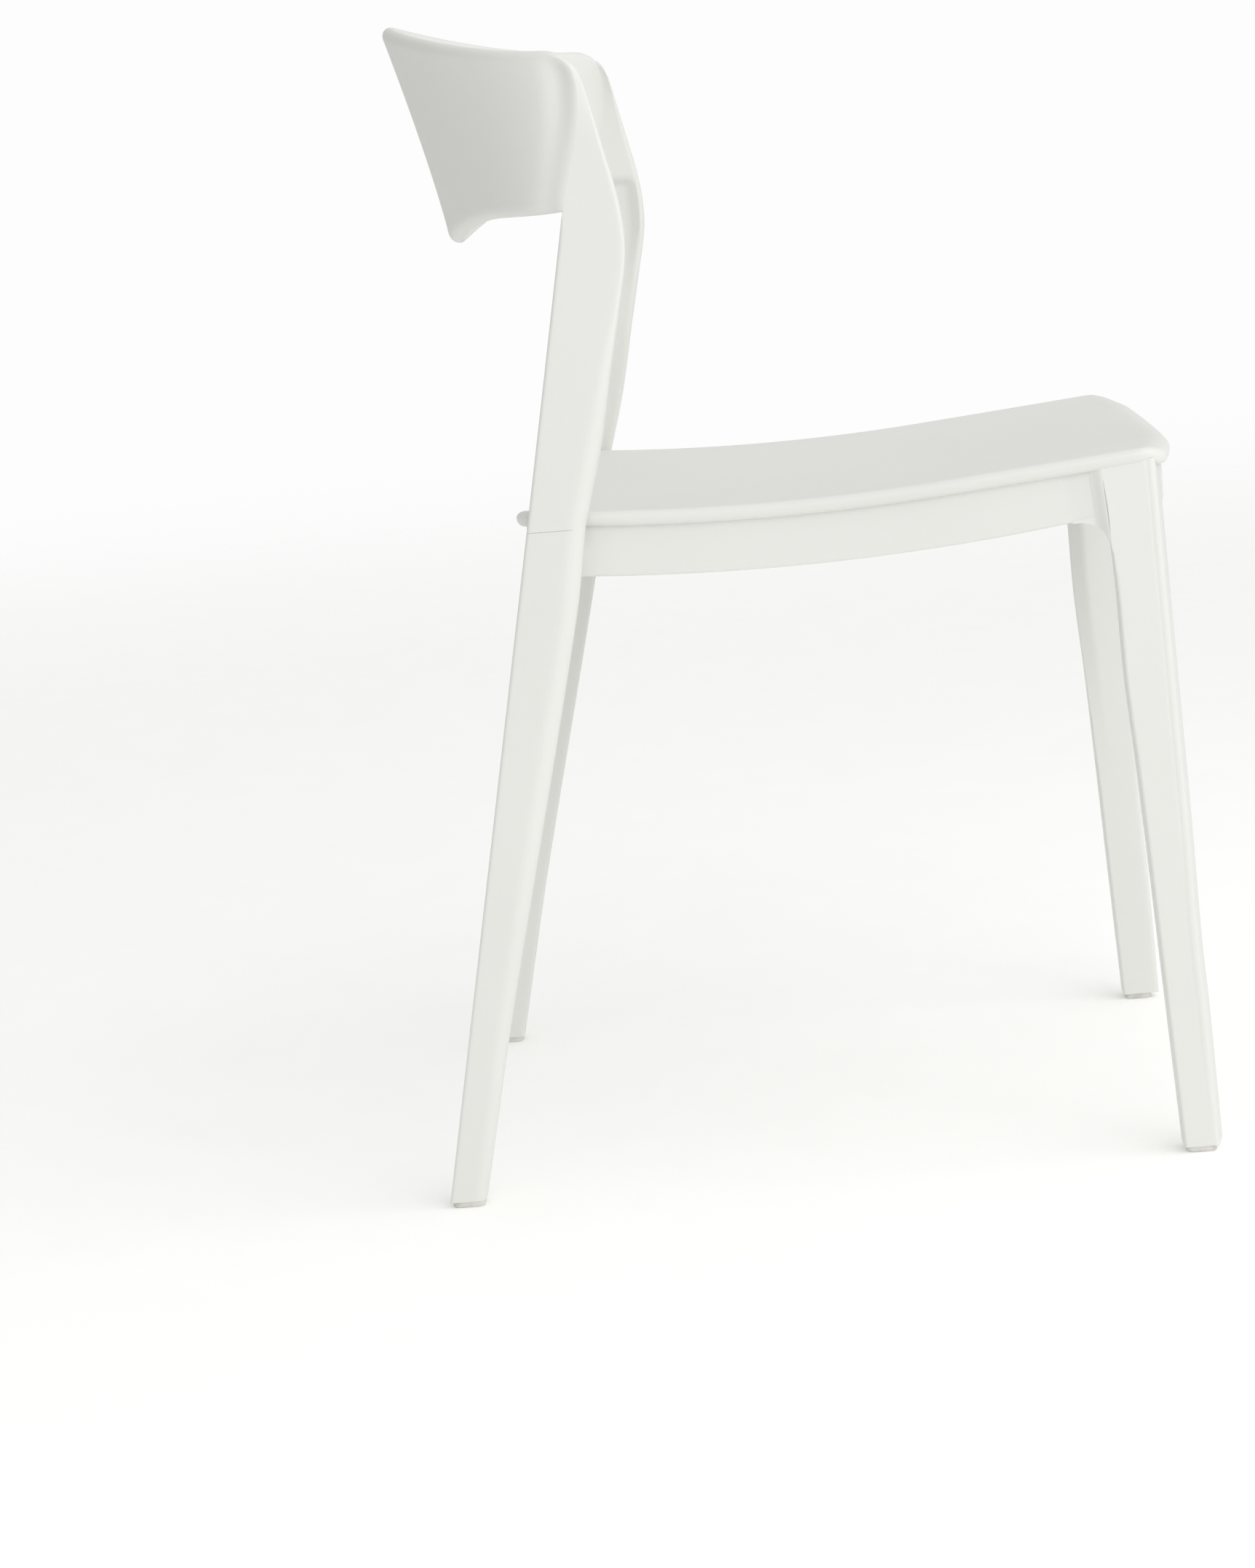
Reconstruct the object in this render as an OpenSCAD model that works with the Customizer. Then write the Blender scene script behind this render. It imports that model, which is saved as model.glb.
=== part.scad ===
// Stacking side chair: a dished seat on an apron frame with front legs, and a
// wrap-round back whose side posts plug into separate rear legs.
// X is the width, the sitter faces -Y, Z is up and the floor is Z = 0.

/* [Overall] */
// Width over the outer faces of the rear legs
overall_w = 465; // [455:1:490]
// Height of the back band's top edge at its middle
back_h = 762; // [745:1:790]
// Height of the lowest point of the dished seat
seat_low = 429; // [420:1:434]

/* [Seat] */
// Width of the seat over its rolled lip
seat_w = 410; // [396:2:412]
// Front of the seat, ahead of the origin
seat_front = 256; // [250:1:262]
// Rear edge of the seat, behind the origin
seat_rear = 176; // [172:1:180]
// Radius of the spherical dish
dish_r = 1500; // [1300:50:2000]
// How far the front edge bows forward
front_bow = 17; // [12:1:30]
// Thickness of the seat skin
skin_t = 4; // [3:0.5:5]
// Height of the rolled lip
lip_t = 10; // [8:1:12]

/* [Apron] */
// Height of the apron below the lip
apron_h = 32; // [22:1:36]
// Distance of the apron's outer face from the lip's edge
apron_inset = 5; // [4:0.5:7]
// Thickness of the apron wall
apron_t = 5; // [4:0.5:6]

/* [Legs] */
// Thickness of a rear leg across the chair
rear_leg_t = 25; // [24:0.5:27]
// Thickness of a front leg across the chair
front_leg_t = 24; // [22:0.5:26]
// Fore-and-aft width of a leg at the floor
foot_w = 23; // [22:1:26]
// Backward lean of the rear edge of the rear legs, in degrees
rear_lean = 11.3; // [10.8:0.1:11.6]
// Outward splay of the front legs, in degrees
front_splay = 2.8; // [2:0.1:3.2]
// Height of the joint between a post and its rear leg
joint_z = 438; // [434:1:442]
// Diameter of the hollow down each leg
core_d = 11; // [9:0.5:12]

/* [Back] */
// Height of the band's lower edge at its middle
band_low = 614; // [606:1:622]
// Wall thickness of the band
band_t = 8; // [7:0.5:9]
// How far the band's top edge stands behind its ends
top_bulge = 139; // [120:1:139]
// How far the band's lower edge stands behind its ends
low_bulge = 86; // [76:1:92]
// Exponent of the band's plan curve, 2 being an ellipse
plan_power = 1.75; // [1.6:0.05:2]

/* [Fittings] */
// Thickness of a glide below its leg
glide_t = 4; // [3:0.5:6]
// Diameter of a stacking pad
pad_d = 14; // [12:1:16]
// Shank diameter of the leg bolts
bolt_d = 6; // [5:0.5:6]
// Shank diameter of the seat screws
screw_d = 4; // [3.5:0.5:4]

/* [Hidden] */

plastic = "#e9e8e3";
rubber = "#b9b9b4";
steel = "#9a9da0";
brass = "#b08d4f";

seat_half = seat_w / 2;
frame_half = overall_w / 2;
dish_z = seat_low + dish_r;
dish_y = 26;
rear_foot_y = 256;
front_foot_y = -246;
lean_slope = tan(rear_lean);
leg_top_half = seat_half - 2;
rear_inner = frame_half - rear_leg_t;
wall_half = seat_half - apron_inset;

// Plan of the seat as one closed outline: three radii and a bowed front
rear_round = 12;
front_round = 22;
bow_r = (pow(seat_half, 2) + pow(front_bow, 2)) / (2 * front_bow);
bow_y = bow_r - seat_front;
corner_x = seat_half - front_round;
corner_y = bow_y - sqrt(pow(bow_r - front_round, 2) - pow(corner_x, 2));
corner_a = asin(corner_x / (bow_r - front_round));

function arc(x, y, r, from, to, steps) =
    [for (i = [0:steps]) let (a = from + (to - from) * i / steps) [x + r * cos(a), y + r * sin(a)]];

function seat_outline(inset) = let (r = max(rear_round - inset, 2), x = seat_half - inset - r,
                                     y = seat_rear - inset - r) concat(
    arc(x, y, r, 0, 90, 6),
    arc(-x, y, r, 90, 180, 6),
    arc(-corner_x, corner_y, front_round - inset, 180, 270 - corner_a, 7),
    arc(0, bow_y, bow_r - inset, 271 - corner_a, 269 + corner_a, 10),
    arc(corner_x, corner_y, front_round - inset, 270 + corner_a, 360, 7));

module seat_prism(inset, low, high) {
    translate([0, 0, low])
        linear_extrude(high - low)
            polygon(seat_outline(inset));
}

// Everything above the dish surface, moved down by a depth
module dish(depth) {
    translate([0, dish_y, dish_z])
        rotate([0, -90, 0]) sphere(r = dish_r + depth, $fn = 200);
}

// Side profile in Y and Z, extruded across the chair from one X to another
module side_slab(from_x, to_x, points) {
    translate([from_x, 0, 0])
        rotate([90, 0, 90])
            linear_extrude(to_x - from_x)
                polygon(points);
}

// A copy on each side; the first child is drawn on the left, +X
module both_sides() {
    children();
    mirror([1, 0, 0]) children();
}

// Seat ------------------------------------------------------------------

// Each screw's place, and how far its tab runs from there to the apron's wall
screw_spots = [[140, 148, 0, 12], [60, 148, 0, 12], [172, 20, 18, 0], [172, -150, 18, 0], [80, -227, 0, -12]];
boss_d = 9;
boss_depth = 22;
tab_depth = 28;

module at_screw_spots() {
    both_sides()
        for (spot = screw_spots)
            translate([spot[0], spot[1], 0]) children();
}

module seat_ribs() {
    rib_t = 3;
    for (x = [-120, -40, 40, 120])
        translate([x - rib_t / 2, -240, seat_low - 40]) cube([rib_t, 405, 90]);
    for (y = [-150, -50, 50, 130])
        translate([-195, y - rib_t / 2, seat_low - 40]) cube([390, rib_t, 90]);
}

module seat_shell() {
    color(plastic)
        difference() {
            union() {
                difference() {
                    intersection() {
                        seat_prism(0, 380, 500);
                        dish(lip_t);
                    }
                    difference() {
                        seat_prism(apron_inset + apron_t + 1, 370, 510);
                        dish(skin_t);
                    }
                }
                intersection() {
                    seat_prism(apron_inset + apron_t, 380, 500);
                    dish(skin_t + 12);
                    seat_ribs();
                }
                intersection() {
                    at_screw_spots() translate([0, 0, seat_low - 40]) cylinder(d = boss_d, h = 90, $fn = 32);
                    dish(boss_depth);
                }
            }
            dish(0);
            intersection() {
                at_screw_spots() translate([0, 0, seat_low - 50]) cylinder(d = screw_d, h = 100, $fn = 32);
                difference() {
                    seat_prism(0, 380, 500);
                    dish(12);
                }
            }
        }
}

// Apron and front legs -----------------------------------------------------

flange_w = 9;
flange_t = 3;
apron_depth = lip_t + apron_h;
front_leg_side = [
    [front_foot_y, glide_t], [front_foot_y + foot_w, glide_t],
    [-214, 174], [-204, 345], [-198, 398], [-196, 470], [-234.5, 470], [-234.5, 400], [-238, 305], [-243, 95]];

module front_leg() {
    translate([leg_top_half, 0, 450])
        rotate([0, -front_splay, 0])
            side_slab(-front_leg_t, 0, [for (p = front_leg_side) [p[0], (p[1] - 450) / cos(front_splay)]]);
}

// The hollow of a front leg follows the leg down to its foot
module front_core(d, low, length) {
    translate([leg_top_half - front_leg_t / 2, 0, 450])
        rotate([0, -front_splay, 0])
            translate([0, front_foot_y + foot_w / 2 + 0.5, low - 450])
                rotate([-2.9, 0, 0])
                    cylinder(d = d, h = length, $fn = 48);
}

// Fillet in the corner between the apron's lower edge and a front leg
module arch_fillet() {
    arch_r = 14;
    arch_y = -186;
    arch_z = 401;
    side_slab(wall_half - apron_t, wall_half, concat(
        arc(arch_y, arch_z, arch_r, 180, 100, 8),
        [[arch_y - 2, 436], [-206, 436], [-206, arch_z]]));
}

module screw_tabs() {
    difference() {
        intersection() {
            both_sides()
                for (spot = screw_spots)
                    translate([spot[0] - 9, spot[1] - 9 + min(spot[3], 0), 380])
                        cube([18 + spot[2], 18 + abs(spot[3]), 90]);
            seat_prism(apron_inset + 1, 380, 500);
            dish(tab_depth);
        }
        dish(boss_depth);
    }
}

// The apron wall with its inward flange along the lower edge
module apron_ring() {
    difference() {
        intersection() {
            seat_prism(apron_inset, 380, 500);
            dish(apron_depth);
        }
        seat_prism(apron_inset + apron_t + flange_w, 370, 510);
        intersection() {
            seat_prism(apron_inset + apron_t, 370, 510);
            dish(apron_depth - flange_t);
        }
    }
}

module seat_frame() {
    color(plastic)
        difference() {
            union() {
                apron_ring();
                screw_tabs();
                both_sides() front_leg();
                both_sides() arch_fillet();
            }
            dish(lip_t);
            both_sides() front_core(core_d, -10, 370);
            at_screw_spots() translate([0, 0, 370]) cylinder(d = screw_d, h = 120, $fn = 32);
            both_sides() bolt_holes(wall_half - apron_t - 12, wall_half + 1);
            at_pad_spots() translate([0, 0, 370]) cylinder(d = pad_d / 2, h = 60, $fn = 32);
        }
}

// Rear legs ------------------------------------------------------------------

tongue_t = 12;
tongue_w = 28;
tongue_len = 46;
bolt_spots = [[145.5, 423], [158.5, 423]];
insert_d = bolt_d + 2.5;
insert_len = 10;

function rear_edge(z) = rear_foot_y - (z - glide_t) * lean_slope;
function front_edge(z) = rear_edge(z) - foot_w - 14 * pow(min(z, joint_z) / joint_z, 0.8);

module bolt_holes(from_x, to_x) {
    for (spot = bolt_spots)
        translate([from_x, spot[0], spot[1]])
            rotate([0, 90, 0]) cylinder(d = bolt_d, h = to_x - from_x, $fn = 32);
}

module tongue(gap) {
    middle_y = (rear_edge(joint_z) + front_edge(joint_z)) / 2;
    translate([frame_half - rear_leg_t / 2, middle_y, joint_z])
        rotate([rear_lean + 1.4, 0, 0])
            translate([-tongue_t / 2 - gap, -tongue_w / 2 - gap, -tongue_len - gap])
                cube([tongue_t + 2 * gap, tongue_w + 2 * gap, tongue_len + 12]);
}

module rear_core(d, low, length) {
    translate([frame_half - rear_leg_t / 2, rear_foot_y - foot_w / 2 - 0.5, low])
        rotate([rear_lean + 1.1, 0, 0])
            cylinder(d = d, h = length, $fn = 48);
}

module left_rear_leg() {
    color(plastic)
        difference() {
            union() {
                side_slab(rear_inner, frame_half, concat(
                    [for (z = [glide_t, joint_z]) [rear_edge(z), z]],
                    [for (z = [joint_z, 300, 200, 100, glide_t]) [front_edge(z), z]]));
                side_slab(wall_half, rear_inner, [[163, 412], [138, 412], [138, 434], [163, 434]]);
            }
            difference() {
                tongue(0);
                translate([0, 0, joint_z]) cube([600, 600, 60]);
            }
            rear_core(core_d, -10, 380);
            bolt_holes(wall_half - 1, frame_half - rear_leg_t / 2);
        }
}

module right_rear_leg() {
    mirror([1, 0, 0]) left_rear_leg();
}

// Back -----------------------------------------------------------------------

u_steps = 40;
v_steps = 8;
end_top_z = 736;
end_low_z = 637;
top_round = 30;
end_rise = 4;
// Share of the half width over which each edge of the band changes height
top_run = 0.9;
low_run = 0.62;

// v runs from 0 at the band's lower edge to 1 at its top edge
function band_end_y(v) = 128 - 15 * v;
function bulge(v) = low_bulge + (top_bulge - low_bulge) * pow(v, 1.25);

// Heights of the band's two edges: t runs from 0 in the middle to 1 at an end
function end_round(s) = s < top_round ? top_round - sqrt(pow(top_round, 2) - pow(top_round - s, 2)) : 0;
function ease(share) = let (s = min(share, 1)) s * s * (3 - 2 * s);
function band_top(t) = back_h - (back_h - end_top_z) * ease(abs(t) / top_run)
    - end_round(top_bulge * pow(max(cos(90 * t), 0), 2 / plan_power));
function band_bottom(t) = band_low + (end_low_z - band_low - end_rise) * ease(abs(t) / low_run) + end_rise * t * t;
function band_z(t, v) = band_bottom(t) + (band_top(t) - band_bottom(t)) * v;

// Plan curve: a quarter turn of t runs from the middle of the back to an end
function plan_point(t, v, inset) = let (a = 90 * abs(t))
    [sign(t) * (frame_half - inset) * pow(sin(a), 2 / plan_power),
     band_end_y(v) + (bulge(v) - inset) * pow(max(cos(a), 0), 2 / plan_power)];

function band_point(t, v, inset) = let (p = plan_point(t, v, inset)) [p[0], p[1], band_z(t, v)];

module band() {
    columns = u_steps + 1;
    rows = v_steps + 1;
    half = columns * rows;
    points = concat(
        [for (j = [0:v_steps]) for (i = [0:u_steps]) band_point(2 * i / u_steps - 1, j / v_steps, 0)],
        [for (j = [0:v_steps]) for (i = [0:u_steps]) band_point(2 * i / u_steps - 1, j / v_steps, band_t)]);
    outer = [for (j = [0:v_steps - 1]) for (i = [0:u_steps - 1]) let (k = j * columns + i)
        for (f = [[k, k + 1, k + columns], [k + 1, k + columns + 1, k + columns]]) f];
    inner = [for (f = outer) [f[0] + half, f[2] + half, f[1] + half]];
    low = [for (i = [0:u_steps - 1]) for (f = [[i, half + i, i + 1], [i + 1, half + i, half + i + 1]]) f];
    last = v_steps * columns;
    high = [for (i = [0:u_steps - 1])
        for (f = [[last + i, last + i + 1, half + last + i],
                  [last + i + 1, half + last + i + 1, half + last + i]]) f];
    left = [for (j = [0:v_steps - 1]) let (k = j * columns + u_steps)
        for (f = [[k, half + k, k + columns], [k + columns, half + k, half + k + columns]]) f];
    right = [for (j = [0:v_steps - 1]) let (k = j * columns)
        for (f = [[k, k + columns, half + k], [k + columns, half + k + columns, half + k]]) f];
    polyhedron(points, concat(outer, inner, low, high, left, right));
}

// A post thins from the leg's thickness at the joint to a blade beside the band
blade_t = 12;
thick_z = 540;
full_z = 614;
full_y = 90;
tip = [110, 714];

module post() {
    thick_front = front_edge(thick_z) - 6;
    side_slab(rear_inner, frame_half, [
        [rear_edge(joint_z), joint_z], [rear_edge(thick_z), thick_z],
        [thick_front, thick_z], [front_edge(joint_z), joint_z]]);
    side_slab(frame_half - blade_t, frame_half, [
        [rear_edge(thick_z), thick_z], [rear_edge(633), 633], [121, 664], [115, 690], [tip[0] + 3, tip[1]],
        tip, [101, 680], [93, 645], [full_y, full_z + 8], [full_y + 1, full_z - 8],
        [thick_front, thick_z]]);
    hull() {
        side_slab(rear_inner, frame_half, [
            [rear_edge(thick_z), thick_z], [rear_edge(thick_z - 1), thick_z - 1],
            [thick_front, thick_z - 1], [thick_front, thick_z]]);
        side_slab(frame_half - blade_t, frame_half, [
            [rear_edge(625), 625], [rear_edge(624), 624], [full_y + 1, 624], [full_y + 1, 625]]);
    }
}

module back_frame() {
    color(plastic)
        difference() {
            union() {
                band();
                both_sides() post();
                both_sides() tongue(0);
            }
            both_sides()
                for (spot = bolt_spots)
                    translate([frame_half - rear_leg_t / 2 - tongue_t / 2 - 1, spot[0], spot[1]])
                        rotate([0, 90, 0]) cylinder(d = insert_d, h = insert_len + 1, $fn = 32);
        }
}

// Glides, pads and fasteners --------------------------------------------------

module glide_plate(w, l) {
    corner = 4;
    linear_extrude(glide_t)
        union() {
            square([w - 2 * corner, l], center = true);
            square([w, l - 2 * corner], center = true);
            for (x = [-1, 1])
                for (y = [-1, 1])
                    translate([x * (w / 2 - corner), y * (l / 2 - corner)]) circle(r = corner, $fn = 32);
        }
}

stem_len = 24;

module rear_left_glide() {
    color(rubber) {
        translate([frame_half - rear_leg_t / 2, rear_foot_y - foot_w / 2, 0])
            glide_plate(rear_leg_t - 2, foot_w - 2);
        difference() {
            rear_core(core_d, 0, stem_len + glide_t);
            translate([0, 0, -50]) cube([600, 600, 50 + glide_t / 2]);
        }
    }
}

module rear_right_glide() {
    mirror([1, 0, 0]) rear_left_glide();
}

module front_left_glide() {
    foot_x = leg_top_half - front_leg_t / 2 + (450 - glide_t) * sin(front_splay);
    color(rubber) {
        translate([foot_x, front_foot_y + foot_w / 2, 0])
            glide_plate(front_leg_t - 2, foot_w - 2);
        difference() {
            front_core(core_d, 0, stem_len + glide_t);
            translate([0, -600, -50]) cube([600, 600, 50 + glide_t / 2]);
        }
    }
}

module front_right_glide() {
    mirror([1, 0, 0]) front_left_glide();
}

front_pad = [150, -233];
rear_pad = [130, 161];
pad_t = 3;

module at_pad_spots() {
    both_sides() {
        translate([front_pad[0], front_pad[1], 0]) children();
        translate([rear_pad[0], rear_pad[1], 0]) children();
    }
}

// A round pad under the apron's flange, held by a stem pressed through it
module pad(spot) {
    color(rubber)
        difference() {
            intersection() {
                translate([spot[0], spot[1], 380]) cylinder(d = pad_d, h = 80, $fn = 48);
                dish(apron_depth + pad_t);
            }
            dish(apron_depth);
        }
    color(rubber)
        difference() {
            intersection() {
                translate([spot[0], spot[1], 380]) cylinder(d = pad_d / 2, h = 80, $fn = 32);
                dish(apron_depth + 1);
            }
            dish(apron_depth - flange_t);
        }
}

module front_left_pad() { pad(front_pad); }
module front_right_pad() { mirror([1, 0, 0]) pad(front_pad); }
module rear_left_pad() { pad(rear_pad); }
module rear_right_pad() { mirror([1, 0, 0]) pad(rear_pad); }

// Height of the tabs' lower face at a screw
function tab_z(spot) = dish_z - sqrt(pow(dish_r + tab_depth, 2)
    - pow(spot[0], 2) - pow(spot[1] - dish_y, 2));

module seat_screws() {
    head_d = 8;
    color(steel)
        both_sides()
            for (spot = screw_spots)
                translate([spot[0], spot[1], tab_z(spot) - 3]) {
                    cylinder(d = head_d, h = 2.6, $fn = 32);
                    cylinder(d = screw_d, h = 16, $fn = 32);
                }
}

washer_t = 1.5;
washer_d = 12;

module leg_washers() {
    color(steel)
        both_sides()
            for (spot = bolt_spots)
                translate([wall_half - apron_t - washer_t, spot[0], spot[1]])
                    rotate([0, 90, 0])
                        difference() {
                            cylinder(d = washer_d, h = washer_t, $fn = 48);
                            translate([0, 0, -1]) cylinder(d = bolt_d, h = washer_t + 2, $fn = 32);
                        }
}

module leg_bolts() {
    head_d = 10;
    head_h = 4;
    shank = 30;
    color(steel)
        both_sides()
            for (spot = bolt_spots)
                translate([wall_half - apron_t - washer_t - head_h, spot[0], spot[1]])
                    rotate([0, 90, 0])
                        difference() {
                            union() {
                                cylinder(d = head_d, h = head_h, $fn = 48);
                                cylinder(d = bolt_d, h = head_h + shank, $fn = 32);
                            }
                            translate([0, 0, -1]) cylinder(d = 4, h = 3, $fn = 6);
                        }
}

module leg_inserts() {
    color(brass)
        both_sides()
            for (spot = bolt_spots)
                translate([frame_half - rear_leg_t / 2 - tongue_t / 2, spot[0], spot[1]])
                    rotate([0, 90, 0])
                        difference() {
                            cylinder(d = insert_d, h = insert_len, $fn = 32);
                            translate([0, 0, -1]) cylinder(d = bolt_d, h = 12, $fn = 32);
                        }
}

seat_shell();
seat_frame();
back_frame();
left_rear_leg();
right_rear_leg();
front_left_glide();
front_right_glide();
rear_left_glide();
rear_right_glide();
front_left_pad();
front_right_pad();
rear_left_pad();
rear_right_pad();
seat_screws();
leg_bolts();
leg_washers();
leg_inserts();
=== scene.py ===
import bpy
import bmesh
from math import asin, cos, exp, pi, radians, sin, sqrt, tan
from mathutils import Euler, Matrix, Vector


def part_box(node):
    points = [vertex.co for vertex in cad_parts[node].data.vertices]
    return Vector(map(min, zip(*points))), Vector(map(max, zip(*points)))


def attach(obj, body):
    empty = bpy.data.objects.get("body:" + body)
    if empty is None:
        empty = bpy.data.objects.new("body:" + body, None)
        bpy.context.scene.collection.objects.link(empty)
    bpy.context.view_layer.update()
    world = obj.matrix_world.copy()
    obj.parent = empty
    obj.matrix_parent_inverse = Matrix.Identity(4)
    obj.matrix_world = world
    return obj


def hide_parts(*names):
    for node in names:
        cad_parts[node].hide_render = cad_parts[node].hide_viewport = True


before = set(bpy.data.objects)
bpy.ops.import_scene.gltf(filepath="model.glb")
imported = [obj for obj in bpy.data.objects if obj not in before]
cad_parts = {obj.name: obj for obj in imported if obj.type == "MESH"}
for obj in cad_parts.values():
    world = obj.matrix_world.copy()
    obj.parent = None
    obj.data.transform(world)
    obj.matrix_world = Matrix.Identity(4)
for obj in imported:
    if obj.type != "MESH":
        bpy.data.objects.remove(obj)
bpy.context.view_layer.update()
mm = 0.001

# camera and light come first, so every piece can be judged as soon as it exists

cameraView = {
    "place": (-2.7005, 0.0042, 0.7188),  # metres, from the chair's right side
    "turn": (79.732, 4.747, -88.230),  # degrees
    "lens": 90.17,
    "sensor": 36,
}

studioLight = {
    "skyStrength": (0.68, 0.93),  # white tent, from the horizon to straight above
    "skyBehind": 0.74,  # share left of it on the side behind the chair's back
    "backdrop": 1.0,  # what the camera itself sees behind the chair
    "keyPower": 24,  # large soft box, beside the camera on the sitter's side
    "keySize": 2.2,
    "keyPlace": (-2.6, -1.2, 1.7),
    "frontPower": 7,  # soft box above and ahead of the sitter
    "frontSize": 1.4,
    "frontPlace": (-0.6, -1.5, 1.7),
    "aim": (0, 0, 0.45),
}


def setCamera(settings):
    lens = bpy.data.cameras.new("studioCamera")
    lens.lens = settings["lens"]
    lens.sensor_width = settings["sensor"]
    camera = bpy.data.objects.new("studioCamera", lens)
    camera.location = settings["place"]
    camera.rotation_euler = Euler([radians(a) for a in settings["turn"]])
    bpy.context.scene.collection.objects.link(camera)
    bpy.context.scene.camera = camera


def addSoftBox(name, place, size, power, aim):
    lamp = bpy.data.lights.new(name, "AREA")
    lamp.shape = "SQUARE"
    lamp.size = size
    lamp.energy = power
    softBox = bpy.data.objects.new(name, lamp)
    softBox.location = place
    softBox.rotation_euler = (Vector(aim) - Vector(place)).to_track_quat("-Z", "Y").to_euler()
    bpy.context.scene.collection.objects.link(softBox)


def addNode(tree, kind, settings=None, links=None, **extra):
    node = tree.nodes.new(kind)
    for name, value in extra.items():
        setattr(node, name, value)
    for name, value in (settings or {}).items():
        node.inputs[name].default_value = value
    for name, source in (links or {}).items():
        tree.links.new(source, node.inputs[name])
    return node


def toLinear(hexColour):
    channels = [int(hexColour[i:i + 2], 16) / 255 for i in (1, 3, 5)]
    return [c / 12.92 if c <= 0.04045 else ((c + 0.055) / 1.055) ** 2.4 for c in channels] + [1]


def setWorld(sky, behind, backdrop):
    world = bpy.data.worlds.new("whiteTent")
    world.use_nodes = True
    tree = world.node_tree
    direction = addNode(tree, "ShaderNodeSeparateXYZ", {},
                        {"Vector": addNode(tree, "ShaderNodeTexCoord").outputs["Generated"]})
    glow = addNode(tree, "ShaderNodeMapRange",
                   {"From Min": -0.1, "From Max": 0.9, "To Min": sky[0], "To Max": sky[1]},
                   {"Value": direction.outputs["Z"]})
    rearward = addNode(tree, "ShaderNodeMapRange", {"From Min": -0.2, "From Max": 0.8, "To Min": 1, "To Max": behind},
                       {"Value": direction.outputs["Y"]})
    tent = addNode(tree, "ShaderNodeMath", {}, {0: glow.outputs["Result"], 1: rearward.outputs["Result"]},
                   operation="MULTIPLY")
    seen = addNode(tree, "ShaderNodeMix", {"B": backdrop},
                   {0: addNode(tree, "ShaderNodeLightPath").outputs["Is Camera Ray"], "A": tent.outputs["Value"]})
    tree.links.new(seen.outputs["Result"], tree.nodes["Background"].inputs["Strength"])
    tree.nodes["Background"].inputs["Color"].default_value = toLinear("#fdfdfd")
    bpy.context.scene.world = world


setCamera(cameraView)
bpy.context.scene.view_settings.view_transform = "Standard"
setWorld(studioLight["skyStrength"], studioLight["skyBehind"], studioLight["backdrop"])
addSoftBox("keyBox", studioLight["keyPlace"], studioLight["keySize"], studioLight["keyPower"], studioLight["aim"])
addSoftBox("frontBox", studioLight["frontPlace"], studioLight["frontSize"], studioLight["frontPower"],
           studioLight["aim"])
print("camera and light are set")

# materials ----


def newMaterial(name):
    material = bpy.data.materials.new(name)
    material.use_nodes = True
    return material, material.node_tree, material.node_tree.nodes["Principled BSDF"]


# Polypropylene, injection moulded in a spark-eroded mould: satin, faintly pebbled,
# with a soft sheen and slight clouding in the pigment.
polypropylene = {
    "colour": "#e3e3df",
    "cloud": "#dededa",  # pigment drifts a little towards this
    "cloudSize": 140,  # mm
    "grainSize": 1.1,  # mm; the real grain is 0.2 mm, drawn coarser so that it shows
    "grainHeight": 0.05,
    "roughness": (0.40, 0.50),
    "ior": 1.49,
}


def makeMouldedPolypropylene(values):
    material, tree, shader = newMaterial("mouldedPolypropylene")
    place = addNode(tree, "ShaderNodeTexCoord").outputs["Object"]
    cloud = addNode(tree, "ShaderNodeTexNoise", {"Scale": 1 / (values["cloudSize"] * mm), "Detail": 2},
                    {"Vector": place})
    tint = addNode(tree, "ShaderNodeMix", {}, {0: cloud.outputs["Fac"]}, data_type="RGBA")
    tint.inputs["A"].default_value = toLinear(values["colour"])
    tint.inputs["B"].default_value = toLinear(values["cloud"])
    grain = addNode(tree, "ShaderNodeTexNoise", {"Scale": 1 / (values["grainSize"] * mm), "Detail": 2.5},
                    {"Vector": place})
    bump = addNode(tree, "ShaderNodeBump", {"Strength": 0.35, "Distance": values["grainHeight"] * mm},
                   {"Height": grain.outputs["Fac"]})
    sheen = addNode(tree, "ShaderNodeMapRange", {"From Min": 0.3, "From Max": 0.7},
                    {"Value": grain.outputs["Fac"]})
    sheen.inputs["To Min"].default_value = values["roughness"][0]
    sheen.inputs["To Max"].default_value = values["roughness"][1]
    tree.links.new(tint.outputs["Result"], shader.inputs["Base Color"])
    tree.links.new(sheen.outputs["Result"], shader.inputs["Roughness"])
    tree.links.new(bump.outputs["Normal"], shader.inputs["Normal"])
    shader.inputs["IOR"].default_value = values["ior"]
    shader.inputs["Subsurface Weight"].default_value = 0.06
    shader.inputs["Subsurface Radius"].default_value = (1, 0.9, 0.8)
    shader.inputs["Subsurface Scale"].default_value = 2 * mm
    return material


# Soft grey polyamide glides and rubber pads: duller than the chair, with scuffs
# that lighten the surface where it rubs.
softPolymer = {
    "glide": ("glidePolyamide", "#d9d8d2", "#c6c5bf", 0.55, 9),
    "pad": ("padRubber", "#a9a9a4", "#94948f", 0.72, 5),
}


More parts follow.
